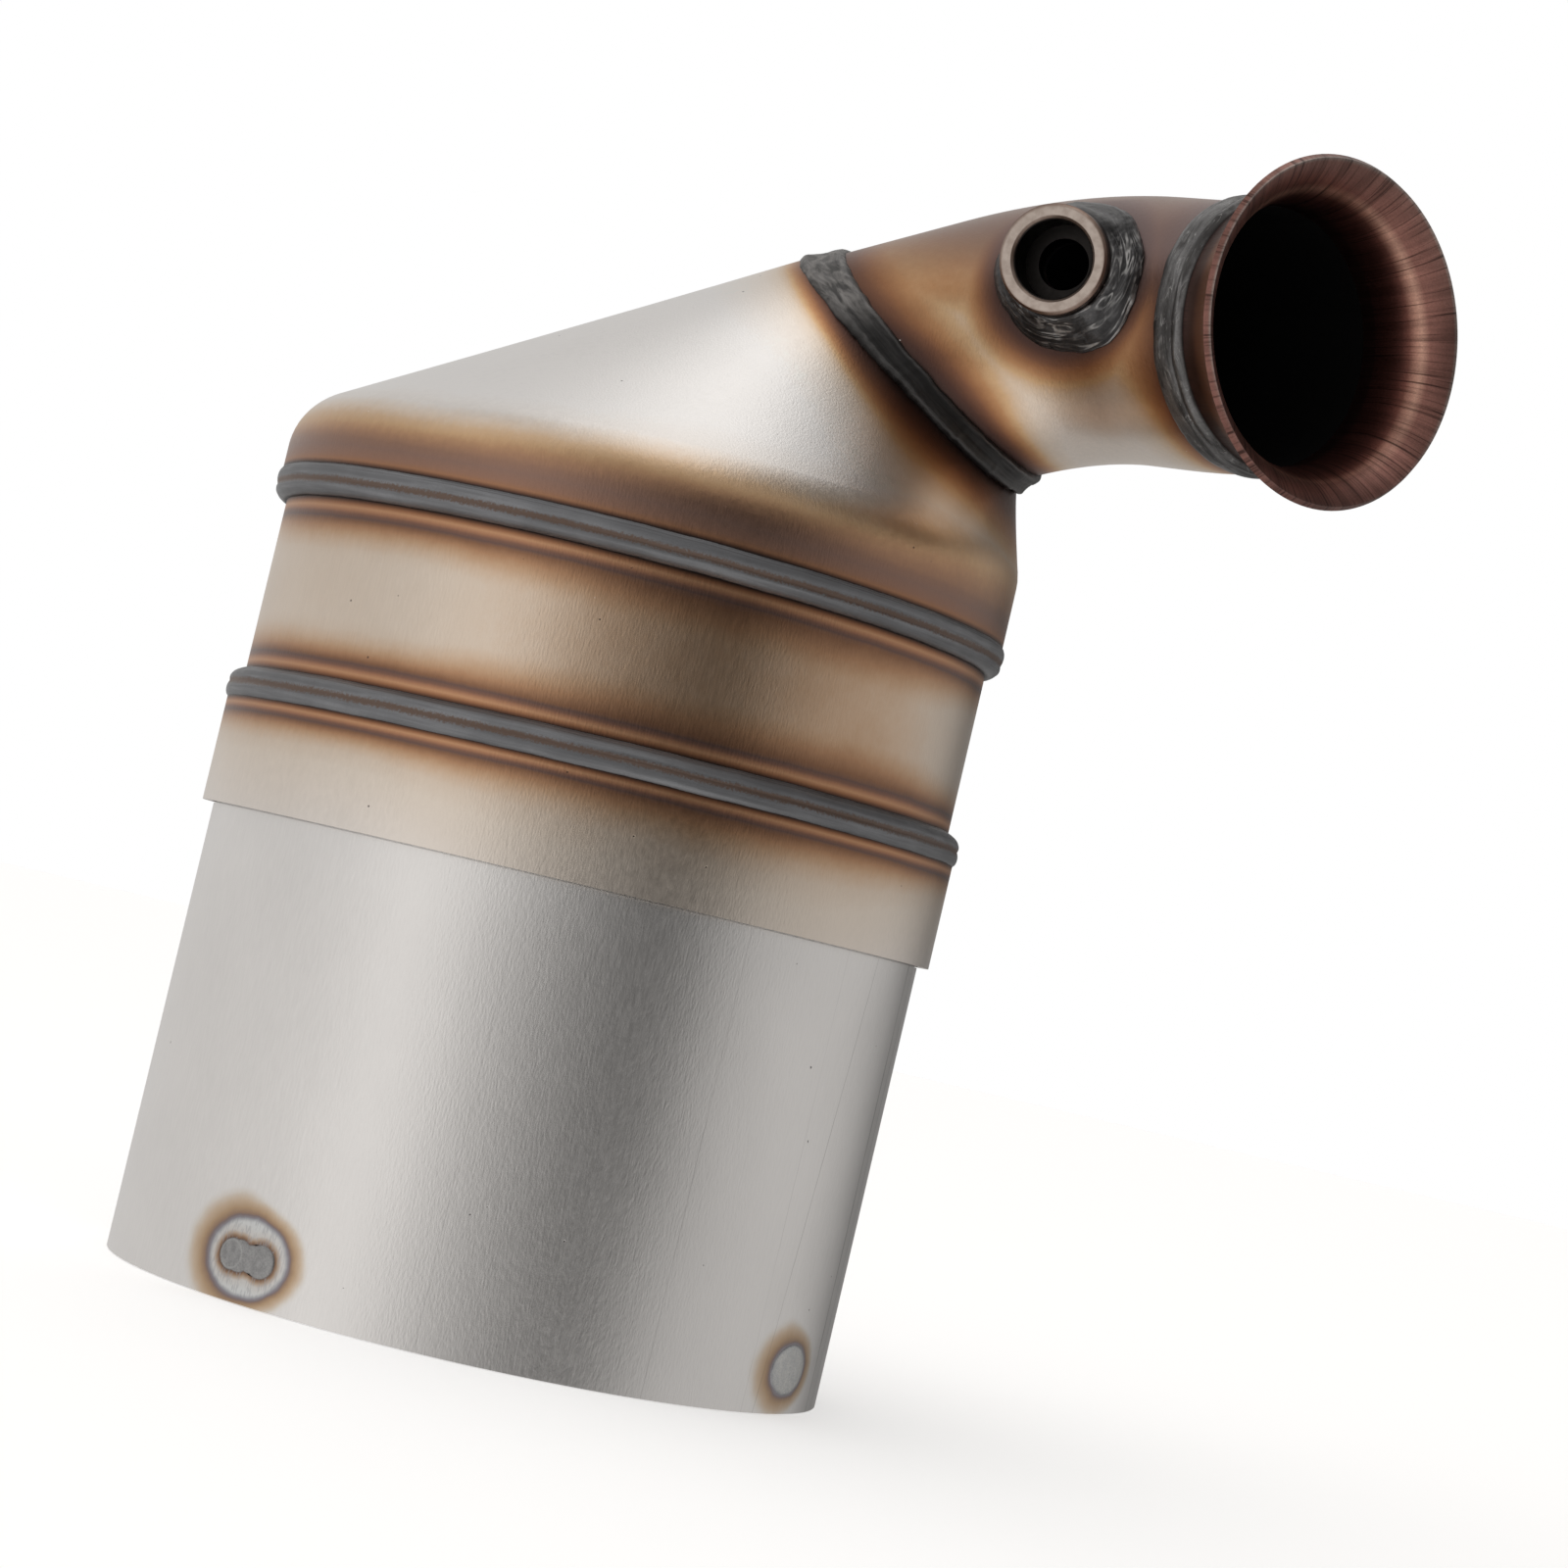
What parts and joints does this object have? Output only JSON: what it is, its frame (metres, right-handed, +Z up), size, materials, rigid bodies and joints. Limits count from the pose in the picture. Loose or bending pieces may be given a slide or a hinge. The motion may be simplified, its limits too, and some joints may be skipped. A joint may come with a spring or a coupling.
{
  "type": "diesel particulate filter",
  "caption": "Round steel filter can with an overlap sleeve, an off-centre outlet cone, a bent outlet tube with a flared flange and a threaded sensor boss.",
  "frame": {"origin": "centre of the can's open lower rim, on the can's axis", "axes": "+Z up the can's axis towards the outlet cone, +X towards the side the outlet tube leaves by, -Y towards the sensor boss and the flared mouth"},
  "size_m": [0.2366, 0.1614, 0.2773],
  "materials": {
    "weld_metal": "dull grey rippled weld bead with a brown toe",
    "can_steel": "brushed stainless sheet, bright below, tan heat tint above",
    "sleeve_steel": "smooth stainless sheet with a straw heat tint",
    "cone_steel": "pressed stainless sheet, bright with straw and brown tint beside its welds",
    "tube_steel": "stainless tube with brown, copper and purple heat tint",
    "flange_steel": "stainless flare tinted copper brown",
    "boss_steel": "machined stainless with a fine lathe grain",
    "ceramic": "matt dark grey silicon carbide honeycomb",
    "cement": "matt light grey refractory cement",
    "mat": "off-white compressed fibre mat",
    "seal": "knitted wire mesh seal"
  },
  "bodies": {
    "root": {"plug_welds": "weld_metal", "can_seam_weld": "weld_metal", "can_shell": "can_steel", "overlap_sleeve": "sleeve_steel", "sleeve_weld": "weld_metal", "cone": "cone_steel", "cone_weld": "weld_metal", "elbow_tube": "tube_steel", "neck_weld": "weld_metal", "flared_flange": "flange_steel", "flange_weld": "weld_metal", "sensor_boss": "boss_steel", "boss_weld": "weld_metal", "end_ring": "can_steel", "filter_segments_core": "ceramic", "filter_segments_edge": "ceramic", "filter_segments_corner": "ceramic", "segment_cement": "cement", "block_skin": "cement", "support_mat": "mat", "seal_rings": "seal"}
  },
  "joints": []
}
